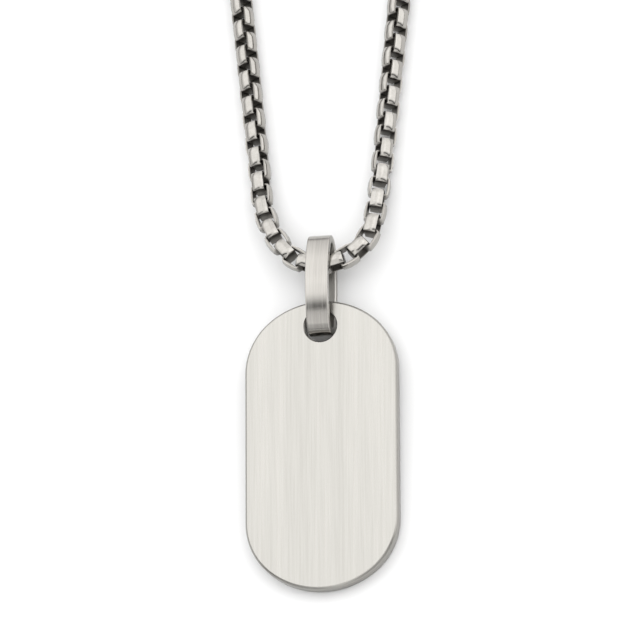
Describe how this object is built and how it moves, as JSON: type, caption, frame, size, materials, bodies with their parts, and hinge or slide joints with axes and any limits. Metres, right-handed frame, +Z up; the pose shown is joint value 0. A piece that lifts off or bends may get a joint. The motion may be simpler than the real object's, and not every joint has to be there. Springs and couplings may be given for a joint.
{
  "type": "dog tag pendant necklace",
  "caption": "Plain brushed steel identification tag with round ends, on an oval strip bail and a closed rounded box chain with a barrel clasp, lying flat.",
  "frame": {"origin": "middle of the necklace's box, on the surface that it lies on", "axes": "+X across the tag, +Y from the tag towards the clasp, +Z up from the surface"},
  "size_m": [0.063, 0.2819, 0.0076],
  "materials": {
    "tag_steel": "brushed along the tag's length",
    "bail_steel": "brushed along the strip",
    "chain_steel": "polished",
    "clasp_steel": "polished"
  },
  "bodies": {
    "root": {"tag": "tag_steel", "bail": "bail_steel", "chain": "chain_steel", "clasp": "clasp_steel"}
  },
  "joints": []
}
